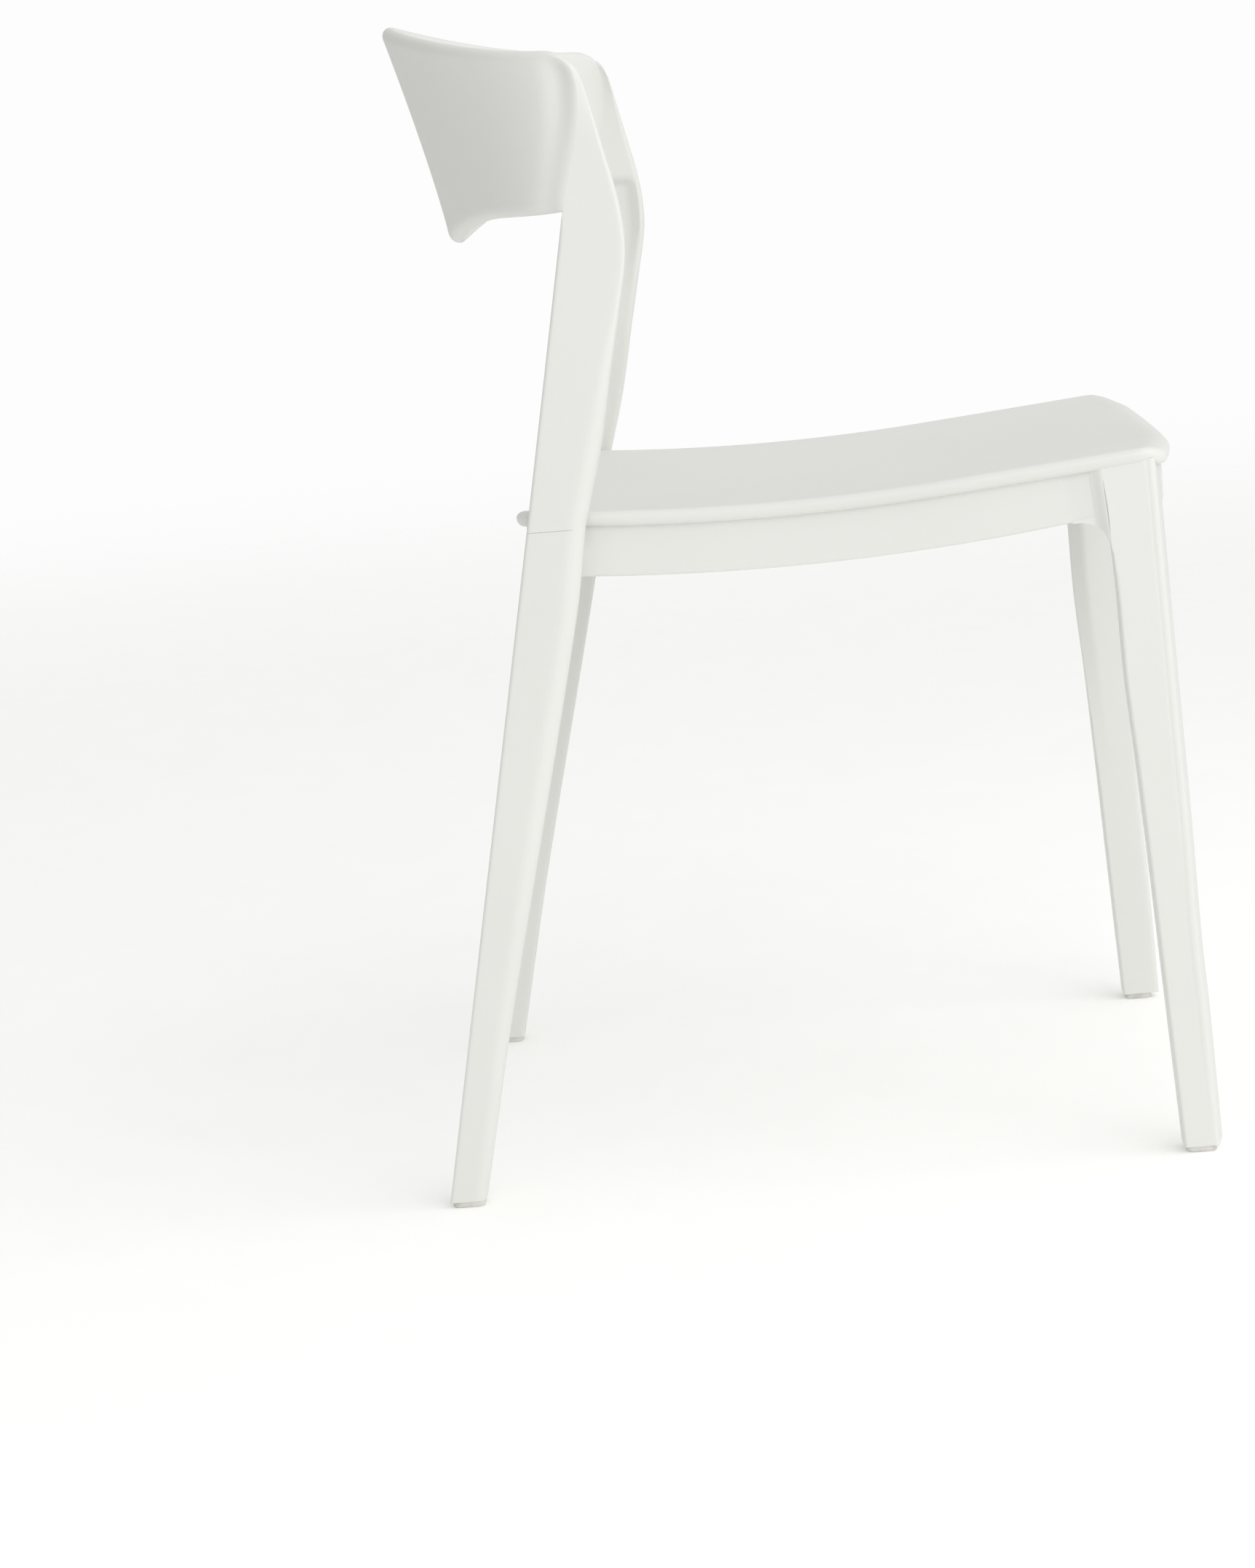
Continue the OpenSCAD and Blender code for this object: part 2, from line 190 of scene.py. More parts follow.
def makeSoftPolymer(name, colour, scuff, roughness, scuffSize):
    material, tree, shader = newMaterial(name)
    place = addNode(tree, "ShaderNodeTexCoord").outputs["Object"]
    wear = addNode(tree, "ShaderNodeTexNoise", {"Scale": 1 / (scuffSize * mm), "Detail": 5, "Roughness": 0.65},
                   {"Vector": place})
    ramp = addNode(tree, "ShaderNodeMapRange", {"From Min": 0.42, "From Max": 0.66}, {"Value": wear.outputs["Fac"]})
    tint = addNode(tree, "ShaderNodeMix", {}, {0: ramp.outputs["Result"]}, data_type="RGBA")
    tint.inputs["A"].default_value = toLinear(colour)
    tint.inputs["B"].default_value = toLinear(scuff)
    bump = addNode(tree, "ShaderNodeBump", {"Strength": 0.4, "Distance": 0.08 * mm}, {"Height": wear.outputs["Fac"]})
    tree.links.new(tint.outputs["Result"], shader.inputs["Base Color"])
    tree.links.new(bump.outputs["Normal"], shader.inputs["Normal"])
    shader.inputs["Roughness"].default_value = roughness
    shader.inputs["IOR"].default_value = 1.52
    return material


# Zinc-plated steel and turned brass: cloudy plating, and fine turning marks
# that break the highlight up.
metalFinish = {
    "steel": ("zincPlatedSteel", "#b9bcbd", "#9fa2a3", (0.30, 0.46), 3.5),
    "brass": ("turnedBrass", "#c2a05c", "#a98747", (0.26, 0.40), 2.0),
}


def makeMetal(name, colour, dull, roughness, spangle):
    material, tree, shader = newMaterial(name)
    place = addNode(tree, "ShaderNodeTexCoord").outputs["Object"]
    patch = addNode(tree, "ShaderNodeTexVoronoi", {"Scale": 1 / (spangle * mm)}, {"Vector": place})
    tint = addNode(tree, "ShaderNodeMix", {}, {0: patch.outputs["Distance"]}, data_type="RGBA")
    tint.inputs["A"].default_value = toLinear(colour)
    tint.inputs["B"].default_value = toLinear(dull)
    shine = addNode(tree, "ShaderNodeMapRange", {}, {"Value": patch.outputs["Distance"]})
    shine.inputs["To Min"].default_value = roughness[0]
    shine.inputs["To Max"].default_value = roughness[1]
    marks = addNode(tree, "ShaderNodeTexNoise", {"Scale": 1 / (0.4 * mm), "Detail": 2}, {"Vector": place})
    bump = addNode(tree, "ShaderNodeBump", {"Strength": 0.25, "Distance": 0.02 * mm},
                   {"Height": marks.outputs["Fac"]})
    tree.links.new(tint.outputs["Result"], shader.inputs["Base Color"])
    tree.links.new(shine.outputs["Result"], shader.inputs["Roughness"])
    tree.links.new(bump.outputs["Normal"], shader.inputs["Normal"])
    shader.inputs["Metallic"].default_value = 1
    return material


# Matt white studio paper over a light table, so a little light comes up through it.
paperGlow = 0.15


def makeFloorPaper():
    material, tree, shader = newMaterial("studioPaper")
    place = addNode(tree, "ShaderNodeTexCoord").outputs["Object"]
    fibre = addNode(tree, "ShaderNodeTexNoise", {"Scale": 1 / (60 * mm), "Detail": 3}, {"Vector": place})
    tint = addNode(tree, "ShaderNodeMix", {}, {0: fibre.outputs["Fac"]}, data_type="RGBA")
    tint.inputs["A"].default_value = toLinear("#f7f7f5")
    tint.inputs["B"].default_value = toLinear("#f3f3f1")
    spread = addNode(tree, "ShaderNodeVectorMath", {}, {"Vector": place}, operation="LENGTH")
    edge = addNode(tree, "ShaderNodeMapRange", {"From Min": 1.6, "From Max": 5, "To Min": 1, "To Max": 0},
                   {"Value": spread.outputs["Value"]}, interpolation_type="SMOOTHSTEP")
    tree.links.new(tint.outputs["Result"], shader.inputs["Base Color"])
    tree.links.new(edge.outputs["Result"], shader.inputs["Alpha"])
    shader.inputs["Roughness"].default_value = 0.85
    shader.inputs["Emission Color"].default_value = toLinear("#ffffff")
    shader.inputs["Emission Strength"].default_value = paperGlow
    return material


plastic = makeMouldedPolypropylene(polypropylene)
glidePlastic = makeSoftPolymer(*softPolymer["glide"])
padRubber = makeSoftPolymer(*softPolymer["pad"])
zincSteel = makeMetal(*metalFinish["steel"])
insertBrass = makeMetal(*metalFinish["brass"])
print("materials are made")

# shared measures, in millimetres, taken from the frame ----

seatBox = [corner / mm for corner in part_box("seat_shell")]
legBox = [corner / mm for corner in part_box("left_rear_leg")]
backBox = [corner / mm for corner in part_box("back_frame")]
sideFace = backBox[1].x  # outer face of the posts and rear legs
jointHeight = legBox[1].z  # where a post meets its rear leg
glideTop = legBox[0].z


def mix(a, b, share):
    return a + (b - a) * share


def ease(low, high, at):
    share = min(max((at - low) / (high - low), 0), 1)
    return share * share * (3 - 2 * share)


def rounding(distance, radius):
    # how far a surface falls back near an edge with that radius
    if distance >= radius or radius <= 0:
        return 0
    return radius - sqrt(max(radius ** 2 - (radius - distance) ** 2, 0))


def follow(points, at):
    # smooth curve through (position, value) pairs
    last = len(points) - 1
    at = min(max(at, points[0][0]), points[last][0])
    k = min(max(i for i in range(last + 1) if points[i][0] <= at), last - 1)

    def slope(i):
        before, after = points[max(i - 1, 0)], points[min(i + 1, last)]
        return (after[1] - before[1]) / (after[0] - before[0])

    span = points[k + 1][0] - points[k][0]
    s = (at - points[k][0]) / span
    return ((2 * s ** 3 - 3 * s ** 2 + 1) * points[k][1] + (s ** 3 - 2 * s ** 2 + s) * span * slope(k)
            + (3 * s ** 2 - 2 * s ** 3) * points[k + 1][1] + (s ** 3 - s ** 2) * span * slope(k + 1))


def spread(index, count, lowSteps, highSteps, length):
    # fixed small steps at both ends of a row, even ones between
    fit = min(1, length / (2.2 * (lowSteps[-1] + highSteps[-1] + 0.01)))
    if index < len(lowSteps):
        return lowSteps[index] * fit
    if count - index < len(highSteps):
        return length - highSteps[count - index] * fit
    first, final = lowSteps[-1] * fit, length - highSteps[-1] * fit
    share = (index - len(lowSteps) + 1) / (count - len(lowSteps) - len(highSteps) + 2)
    return mix(first, final, share)


def mouldSheet(columns, rows, place, keep=None, wall=True):
    # a flat grid is given a wall and then pressed to shape, point by point
    bm = bmesh.new()
    bmesh.ops.create_grid(bm, x_segments=columns, y_segments=rows, size=0.5)
    if keep:
        spare = []
        for face in bm.faces:
            middle = face.calc_center_median()
            if not keep(int((middle.x + 0.5) * columns), int((middle.y + 0.5) * rows)):
                spare.append(face)
        bmesh.ops.delete(bm, geom=spare, context="FACES")
    if wall:
        made = bmesh.ops.extrude_face_region(bm, geom=bm.faces[:])
        inner = [g for g in made["geom"] if isinstance(g, bmesh.types.BMVert)]
        bmesh.ops.translate(bm, verts=inner, vec=(0, 0, 1))
    for vert in bm.verts:
        column = round((vert.co.x + 0.5) * columns)
        row = round((vert.co.y + 0.5) * rows)
        vert.co = Vector(place(column, row, vert.co.z > 0.5)) * mm
    return bm


def closeUp(bm, gap=0.002):
    bmesh.ops.remove_doubles(bm, verts=bm.verts[:], dist=gap * mm)
    bmesh.ops.dissolve_degenerate(bm, edges=bm.edges[:], dist=gap * mm)
    bmesh.ops.recalc_face_normals(bm, faces=bm.faces[:])
    if bm.calc_volume(signed=True) < 0:
        bmesh.ops.reverse_faces(bm, faces=bm.faces[:])


def addPart(target, bm):
    # joins a finished part into a piece
    spare = bpy.data.meshes.new("spare")
    bm.to_mesh(spare)
    bm.free()
    target.from_mesh(spare)
    bpy.data.meshes.remove(spare)


def finishPiece(name, bm, nodes, material, sharp=38):
    for face in bm.faces:
        face.smooth = True
    for edge in bm.edges:
        edge.smooth = len(edge.link_faces) == 2 and edge.calc_face_angle(0) < radians(sharp)
    openEdges = sum(1 for edge in bm.edges if len(edge.link_faces) != 2)
    mesh = bpy.data.meshes.new(name)
    bm.to_mesh(mesh)
    bm.free()
    mesh.materials.append(material)
    piece = bpy.data.objects.new(name, mesh)
    bpy.context.scene.collection.objects.link(piece)
    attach(piece, "root")
    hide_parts(*nodes)
    print(name, "has", len(mesh.polygons), "faces and", openEdges, "open edges")
    return piece


# rear legs and posts: one line from the floor to the corner of the back ----

postShape = {
    "frontEdge": [(438, 131), (487, 117), (536, 106.5), (572, 98.5), (603, 92), (622, 91), (645, 93.5),
                  (680, 101), (703, 106), (716, 109)],  # height, distance behind the origin
    "rearEdge": [(438, 168), (540, 147.5), (638, 128)],
    "thick": 25,
    "thin": 12,
    "tipThin": 8.6,
    "frontRadius": 11,
    "rearRadius": 2.2,
    "innerRadius": 3,
    "bladeRadius": 2.2,  # front edge from the knee upwards
    "hollow": 5,  # scooped inner side just below the band
    "hollowFrom": (545, 618),
    "hollowEdge": (2.5, 11),  # behind the front edge
    "roundFrom": (470, 600),  # heights over which the round front edge becomes a blade
    "thinFrom": (520, 628),  # and over which the post thins, first to the knee
    "tipFrom": (632, 706),  # then to the tip
    "edgeShare": 0.62,  # of the thickness that the front edge may take
    "footRadius": 8,
    "roundBelow": 300,  # height at which the leg's edge is fully round
}

rearLegShape = {
    "frontEdge": [(4, 232.3), (60, 219.8), (125, 205), (378, 142.2), (438, 131)],
    "rearEdge": [(4, 256), (438, 168)],
    "rows": 46,
    "columns": 20,
    "seam": 0.45,  # chamfer that shows the joint as a fine line
    "gate": 1.1,  # radius of the small moulding gate by the joint
    "gateShare": 0.66,  # its place across the leg, from the rear
    "boss": ((198.9, 138, 412), (208, 163, 434)),  # block that the apron is bolted against
    "bossEdge": 1.2,
}

cornerSteps = [0, 0.35, 1.3, 3.0, 5.4, 8.2, 11.0, 14.5]  # towards the round front edge
smallSteps = [0, 0.25, 0.8, 1.6, 2.4, 4.2]
seamSteps = [0, 0.2, 0.5, 1.4]


def postThickness(height):
    full = mix(postShape["thick"], postShape["thin"], ease(*postShape["thinFrom"], height))
    return mix(full, postShape["tipThin"], ease(*postShape["tipFrom"], height))


def bladeEdge(height, thickness):
    radius = mix(postShape["frontRadius"], postShape["bladeRadius"], ease(*postShape["roundFrom"], height))
    return min(radius, thickness * postShape["edgeShare"])


def innerHollow(height, toFront):
    scoop = ease(*postShape["hollowFrom"], height) * (1 - ease(bandShape["notch"], bandShape["notch"] + 7, height))
    return postShape["hollow"] * scoop * ease(*postShape["hollowEdge"], toFront)


def pressBar(distanceFront, distanceRear, distanceEnd, thickness, frontRadius):
    # how far the outer and the inner face of a leg fall back beside its edges
    inner = min(postShape["innerRadius"], thickness - frontRadius - 0.4)
    outside = max(rounding(distanceFront, frontRadius), rounding(distanceRear, postShape["rearRadius"]),
                  rounding(distanceEnd, rearLegShape["seam"]))
    inside = max(rounding(distanceFront, inner), rounding(distanceRear, postShape["rearRadius"]),
                 rounding(distanceEnd, rearLegShape["seam"]))
    return outside, inside


def makeRearLeg(name, node, side):
    columns, rows = rearLegShape["columns"], rearLegShape["rows"]
    length = jointHeight - glideTop

    def place(column, row, isInner):
        up = spread(row, rows, seamSteps, seamSteps, length)
        height = glideTop + up
        rear = follow(rearLegShape["rearEdge"], height)
        front = follow(rearLegShape["frontEdge"], height)
        behind = spread(column, columns, smallSteps, cornerSteps, rear - front)
        radius = mix(postShape["footRadius"], postShape["frontRadius"], ease(0, postShape["roundBelow"], height))
        outside, inside = pressBar(rear - front - behind, behind, min(up, length - up), postShape["thick"], radius)
        x = sideFace - postShape["thick"] + inside if isInner else sideFace - outside
        return side * x, rear - behind, height

    leg = mouldSheet(columns, rows, place)
    closeUp(leg)
    gate = bmesh.new()
    bmesh.ops.create_uvsphere(gate, u_segments=16, v_segments=10, radius=rearLegShape["gate"] * mm)
    bmesh.ops.scale(gate, verts=gate.verts[:], vec=(0.45, 1, 1))
    gateBehind = mix(follow(rearLegShape["rearEdge"], jointHeight), follow(rearLegShape["frontEdge"], jointHeight),
                     rearLegShape["gateShare"])
    bmesh.ops.translate(gate, verts=gate.verts[:],
                        vec=Vector((side * (sideFace - 0.5), gateBehind, jointHeight - 1.4)) * mm)
    addPart(leg, gate)
    boss = bmesh.new()
    bmesh.ops.create_cube(boss, size=1)
    low, high = (Vector(corner) for corner in rearLegShape["boss"])
    bmesh.ops.scale(boss, verts=boss.verts[:], vec=(high - low) * mm)
    bmesh.ops.bevel(boss, geom=boss.edges[:], offset=rearLegShape["bossEdge"] * mm, segments=3, profile=0.5,
                    affect="EDGES", material=-1)
    middle = (low + high) / 2
    bmesh.ops.translate(boss, verts=boss.verts[:], vec=Vector((side * middle.x, middle.y, middle.z)) * mm)
    addPart(leg, boss)
    return finishPiece(name, leg, [node], plastic)


makeRearLeg("rearLegLeft", "left_rear_leg", 1)
makeRearLeg("rearLegRight", "right_rear_leg", -1)
print("rear legs are done")

# back frame: a wrap-round band whose ends fold into the two posts ----

bandShape = {
    "notch": 637,  # height where the band's lower edge meets the post
    "cornerTop": 729.5,  # height of the fold's upper end
    "lowMiddle": 614,
    "lowFlat": 0.62,  # the lower edge is nearly level from here on, as a share of the turn
    "lowDrift": 4,
    "topMiddle": 761,
    "topEnd": 736,  # height that the top edge runs at before it turns down
    "topFlat": 0.9,
    "cornerRadius": 30,
    "foldLow": 127,  # how far behind the origin the fold starts
    "foldSweep": 14.2,  # and how far it leans forward on the way up
    "rearLow": 216.5,
    "rearLean": 35.5,
    "power": 1.75,  # of the plan curve, 2 being an ellipse
    "wall": 9.2,
    "rim": 6.5,
    "innerRim": 2.6,
    "sheetRim": 4.1,  # of the thin web beside the fold
    "dimple": 4.2,  # hollow just behind the fold
    "dimplePlace": 12,
    "dimpleWidth": 7,
    "frontTop": 716,  # height of the post's front edge at its top
    "foldBend": 0.8,  # share of the fold above which it leans back again
    "foldReturn": 5,
    "bladeLean": 1.6,  # how far the blade leans in towards its front edge
    "bandColumns": 52,
    "postColumns": 18,
    "bandRows": 30,
    "postRows": 26,
}

rimSteps = [0, 0.3, 1.1, 2.4, 4.1, 6.5, 9.5]


def foldLine(share):
    # side view of the fold, from the notch up to the top corner
    height = mix(bandShape["notch"], bandShape["cornerTop"], share)
    bend = bandShape["foldBend"]
    lean = sin(pi / 2 * min(share / bend, 1)) ** 1.3
    behind = bandShape["foldLow"] - bandShape["foldSweep"] * lean
    if share > bend:
        behind += bandShape["foldReturn"] * ((share - bend) / (1 - bend)) ** 2
    return behind, height


def bandLow(turn):
    climb = bandShape["notch"] - bandShape["lowMiddle"] - bandShape["lowDrift"]
    return bandShape["lowMiddle"] + climb * ease(0, bandShape["lowFlat"], turn) + bandShape["lowDrift"] * turn ** 2


def bandTop(turn):
    run = mix(bandShape["topMiddle"], bandShape["topEnd"], ease(0, bandShape["topFlat"], turn))
    depth = (bandShape["rearLow"] + bandShape["rearLean"] - foldLine(1)[0]) * max(cos(pi / 2 * turn), 0) ** (
        2 / bandShape["power"])
    radius = bandShape["cornerRadius"]
    return run - rounding(depth + rounding(bandShape["topEnd"] - bandShape["cornerTop"], radius), radius)


def bandPoint(turn, rise):
    # turn runs from 0 at the middle of the back to 1 at the fold, rise from the lower to the top edge
    foldBehind = foldLine(rise)[0]
    rear = bandShape["rearLow"] + bandShape["rearLean"] * rise ** 1.2
    quarter = pi / 2 * turn
    x = sideFace * sin(quarter) ** (2 / bandShape["power"])
    y = foldBehind + (rear - foldBehind) * max(cos(quarter), 0) ** (2 / bandShape["power"])
    z = mix(bandLow(turn), bandTop(turn), rise)
    return Vector((x, y, z))


def wedgePoint(across, rise):
    # the post's own face beside the band, from the fold to the front edge
    foldBehind, height = foldLine(rise)
    frontHeight = mix(bandShape["notch"], bandShape["frontTop"], rise)
    front = follow(postShape["frontEdge"], frontHeight)
    y = mix(foldBehind, front, across)
    z = mix(height, frontHeight, across) + 3.0 * ease(0.7, 1, rise) * sin(pi * across)
    x = sideFace - bandShape["bladeLean"] * ease(0.35, 1, rise) * across
    return Vector((x, y, z))


def bandNormal(turn, rise):
    step = 0.004
    along = bandPoint(min(turn + step, 1), rise) - bandPoint(max(turn - step, 0), rise)
    up = bandPoint(turn, min(rise + step, 1)) - bandPoint(turn, max(rise - step, 0))
    if turn < step:
        along = Vector((1, 0, 0))
    outward = up.cross(along)
    outward.z *= 0.5
    return -outward.normalized() if outward.y < 0 else outward.normalized()


def makeBackFrame():
    bandColumns, postColumns = bandShape["bandColumns"], bandShape["postColumns"]
    bandRows, postRows = bandShape["bandRows"], bandShape["postRows"]
    halfColumns = bandColumns + postColumns
    postLength = bandShape["notch"] - jointHeight

    def keep(column, row):
        inPost = column < postColumns or column >= postColumns + 2 * bandColumns
        return inPost or row >= postRows

    def lowerPost(column, row, isInner):
        up = spread(row, postRows, seamSteps, [0, 4], postLength)
        height = jointHeight + up
        rear = follow(postShape["rearEdge"], height)
        front = follow(postShape["frontEdge"], height)
        behind = spread(column, postColumns, smallSteps, cornerSteps, rear - front)
        thickness = postThickness(height)
        radius = bladeEdge(height, thickness)
        rearDistance = behind + 30 * ease(postLength - 9, postLength, up)
        outside, inside = pressBar(rear - front - behind, rearDistance, up, thickness, radius)
        inside += innerHollow(height, rear - front - behind)
        x = sideFace - thickness + inside if isInner else sideFace - outside
        return Vector((x, rear - behind, height))

    def upperPost(column, row, isInner):
        height = bandTop(1) - bandShape["notch"]
        up = spread(row, bandRows, rimSteps, rimSteps, height)
        rise = up / height
        low, high = wedgePoint(0, rise), wedgePoint(1, rise)
        width = (high - low).length
        behind = spread(column, postColumns, smallSteps, cornerSteps, width)
        point = wedgePoint(behind / width, rise)
        thickness = postThickness(point.z)
        radius = bladeEdge(point.z, thickness)
        rim = bandShape["sheetRim"]
        inner = min(postShape["innerRadius"], thickness - radius - 0.4)
        edge = width - behind
        if isInner:
            inside = max(rounding(edge, inner), rounding(height - up, inner)) + innerHollow(point.z, edge)
            return point - Vector((thickness - inside, 0, 0))
        return point - Vector((max(rounding(edge, radius), rounding(height - up, rim)), 0, 0))

    def band(turnColumn, row, isInner):
        turn = turnColumn / bandColumns
        height = bandTop(turn) - bandLow(turn)
        up = spread(row, bandRows, rimSteps, rimSteps, height)
        rise = up / height
        point = bandPoint(turn, rise)
        normal = bandNormal(turn, rise)
        foldDistance = (point - bandPoint(1, rise)).length
        thickness = mix(postThickness(point.z), bandShape["wall"], ease(0, 26, foldDistance))
        fromDimple = (foldDistance - bandShape["dimplePlace"]) / bandShape["dimpleWidth"]
        hollow = bandShape["dimple"] * exp(-fromDimple ** 2)
        hollow *= mix(0.35, 1, ease(0.25, 0.85, rise)) * ease(0, 6, foldDistance) * ease(1, 11, height - up)
        fromRim = min(up, height - up)
        besideFold = ease(0, 14, foldDistance)
        edge = rounding(fromRim, mix(bandShape["sheetRim"], bandShape["rim"], besideFold))
        innerEdge = rounding(fromRim, mix(bandShape["sheetRim"], bandShape["innerRim"], besideFold))
        if up < height / 2:
            edge *= ease(0, 6, foldDistance)
            innerEdge *= ease(0, 6, foldDistance)
        if isInner:
            return point - normal * (thickness - innerEdge)
        return point - normal * (edge + hollow)

    def place(column, row, isInner):
        fromMiddle = column - halfColumns
        side = 1 if fromMiddle >= 0 else -1
        fromMiddle = abs(fromMiddle)
        if fromMiddle < bandColumns:
            point = band(fromMiddle, row - postRows, isInner)
        elif row <= postRows:
            point = lowerPost(fromMiddle - bandColumns, row, isInner)
        else:
            point = upperPost(fromMiddle - bandColumns, row - postRows, isInner)
        return side * point.x, point.y, point.z

    back = mouldSheet(2 * halfColumns, postRows + bandRows, place, keep)
    closeUp(back)
    return finishPiece("backFrame", back, ["back_frame"], plastic)


makeBackFrame()
print("back frame is done")

# seat shell ----

seatShape = {
    "dishRadius": 1500,
    "dishLow": 429,
    "dishBehind": 26,
    "rearRound": 12,
    "frontRound": 22,
    "bow": 17,
    "droop": 8,  # how far the front corners sink below the dish
    "droopFrom": -100,  # measured along the chair
    "lip": 10,
    "skin": 4,
    "lipWall": 11,
    "sideSteps": 30,
    "rearSteps": 22,
    "frontSteps": 26,
    "ribs": [-120, -40, 40, 120],
    "crossRibs": [-150, -50, 50, 130],
    "ribDeep": 16,
    "ribWall": 3,
    "ribReach": (-238, 162),  # the long ribs' ends
    "crossReach": 194,
    "ribSteps": 24,
    "fillMiddle": (0, -40),  # where the rows of the skin meet
}

seatHalf = seatBox[1].x
seatFront = seatBox[0].y
seatRear = seatBox[1].y
bowRadius = (seatHalf ** 2 + seatShape["bow"] ** 2) / (2 * seatShape["bow"])
ringCache = {}


def dishHeight(x, y, depth):
    radius = seatShape["dishRadius"]
    height = seatShape["dishLow"] + radius - sqrt((radius + depth) ** 2 - x * x - (y - seatShape["dishBehind"]) ** 2)
    ahead = max(seatShape["droopFrom"] - y, 0) / (seatShape["droopFrom"] - seatFront)
    atSide = mix(0.3, 1, ease(0.6, 1, abs(x) / seatHalf))
    return height - seatShape["droop"] * ahead ** 2 * atSide * (1 - ease(18, 34, depth))


def seatRing(inset):
    # plan of the seat at a distance inside its edge, as points and how much each faces forward
    key = round(inset, 4)
    if key in ringCache:
        return ringCache[key]
    ring = []

    def arc(x, y, radius, start, stop, steps):
        for i in range(steps):
            angle = radians(mix(start, stop, i / steps))
            ring.append((x + radius * cos(angle), y + radius * sin(angle), max(-sin(angle), 0)))

    def line(a, b, steps):
        for i in range(steps):
            ring.append((mix(a[0], b[0], i / steps), mix(a[1], b[1], i / steps), 0))

    rear = max(seatShape["rearRound"] - inset, 2)
    front = seatShape["frontRound"]
    side = seatHalf - inset
    bowBehind = bowRadius + seatFront
    cornerX = seatHalf - front
    cornerY = bowBehind - sqrt((bowRadius - front) ** 2 - cornerX ** 2)
    turn = asin(cornerX / (bowRadius - front)) * 180 / pi
    rearY = seatRear - inset
    front = max(front - inset, 3)
    line((side, cornerY), (side, rearY - rear), seatShape["sideSteps"])
    arc(side - rear, rearY - rear, rear, 0, 90, 8)
    line((side - rear, rearY), (rear - side, rearY), seatShape["rearSteps"])
    arc(rear - side, rearY - rear, rear, 90, 180, 8)
    line((-side, rearY - rear), (-side, cornerY), seatShape["sideSteps"])
    arc(-cornerX, cornerY, front, 180, 270 - turn, 10)
    arc(0, bowBehind, bowRadius - inset, 270 - turn, 270 + turn, seatShape["frontSteps"])
    arc(cornerX, cornerY, front, 270 + turn, 360, 10)
    ringCache[key] = ring
    return ring


def seatLip(angle, forward):
    # half-round bead of the lip: angle 0 is its underside and 180 the top; the front is fuller
    full = ease(60, 120, angle)
    reach = mix(mix(4, 7, full), mix(5, 15, full), forward)
    middle = mix(5.0, 8.2, forward)
    low = mix(seatShape["lip"], 12.5, forward) - middle
    inset = reach * (1 - sin(radians(angle)))
    depth = middle + (low if angle < 90 else middle) * cos(radians(angle))
    return inset, depth


def makeSeatShell():
    columns = len(seatRing(0))
    inner = seatShape["lipWall"]
    shares = [0, 0.12, 0.25, 0.38, 0.5, 0.62, 0.73, 0.83, 0.91, 0.97]
    middle = Vector(seatShape["fillMiddle"])
    lipAngles = [0, 12, 25, 40, 55, 70, 82, 90, 100, 112, 126, 140, 154, 167, 180]
    profile = [("fill", share, inner + 1, seatShape["skin"]) for share in shares]
    profile += [("ring", inner + 1, seatShape["skin"]), ("ring", inner + 0.3, seatShape["skin"] + 0.4),
                ("ring", inner, seatShape["skin"] + 1.2), ("ring", inner, seatShape["lip"] - 0.6),
                ("ring", inner - 0.6, seatShape["lip"])]
    profile += [("lip", angle) for angle in lipAngles]
    profile += [("fill", share, 18, 0) for share in reversed(shares + [0.995])]

    def place(column, row, isInner):
        step = profile[row]
        column = column % columns
        forward = ease(0.3, 1, seatRing(0)[column][2])
        if step[0] == "lip":
            inset, depth = seatLip(step[1], forward)
            x, y, _ = seatRing(inset)[column]
        elif step[0] == "ring":
            x, y, _ = seatRing(step[1])[column]
            depth = step[2]
        else:
            edge = seatRing(step[2])[column]
            x, y = mix(middle.x, edge[0], step[1]), mix(middle.y, edge[1], step[1])
            depth = step[3]
        return x, y, dishHeight(x, y, depth)

    shell = mouldSheet(columns, len(profile) - 1, place, wall=False)
    closeUp(shell)
    for x in seatShape["ribs"]:
        addPart(shell, makeRib((x, seatShape["ribReach"][0]), (x, seatShape["ribReach"][1])))
    for y in seatShape["crossRibs"]:
        addPart(shell, makeRib((-seatShape["crossReach"], y), (seatShape["crossReach"], y)))
    return finishPiece("seatShell", shell, ["seat_shell"], plastic)


def makeRib(start, stop):
    # a thin upright rib that follows the underside of the dish
    start, stop = Vector(start), Vector(stop)
    across = (stop - start).normalized().orthogonal() * seatShape["ribWall"] / 2

    def place(column, row, isInner):
        spot = start.lerp(stop, column / seatShape["ribSteps"]) + (across if isInner else -across)
        depth = mix(seatShape["ribDeep"], seatShape["skin"] - 1, row)
        return spot.x, spot.y, dishHeight(spot.x, spot.y, depth)

    rib = mouldSheet(seatShape["ribSteps"], 1, place)
    closeUp(rib)
    return rib


makeSeatShell()
print("seat shell is done")

# seat frame: the apron ring and the two front legs ----

apronShape = {
    "inset": 6,
    "wall": 4.5,
    "depth": 42,
    "flange": 8.5,
    "flangeWall": 3,
    "edgeRadius": 1.6,
}

frontLegShape = {
    "splay": 2.8,  # degrees outward
    "outerTop": 203,  # distance of the outer face from the middle, at the height below
    "topHeight": 450,
    "thick": 24,
    "frontEdge": [(4, -246), (95, -243), (133, -241), (220, -239), (305, -236.5), (389, -234), (460, -232)],
    "rearEdge": [(4, -223.5), (101, -218), (174, -214), (250, -209.5), (312, -205), (377, -203), (460, -197)],
    "archRadius": 19,
    "archTop": 413,
    "coveWidth": 9,
    "rows": 56,
    "columns": 22,
    "wingColumns": 12,
    "wingRows": 14,
    "wingEnd": -178,  # how far back the cove reaches
    "partLine": 0.16,  # depth of the mould's parting line
}

legFrontSteps = [0, 0.25, 0.9, 1.9, 3.2, 4.7, 5.2, 5.7, 8]


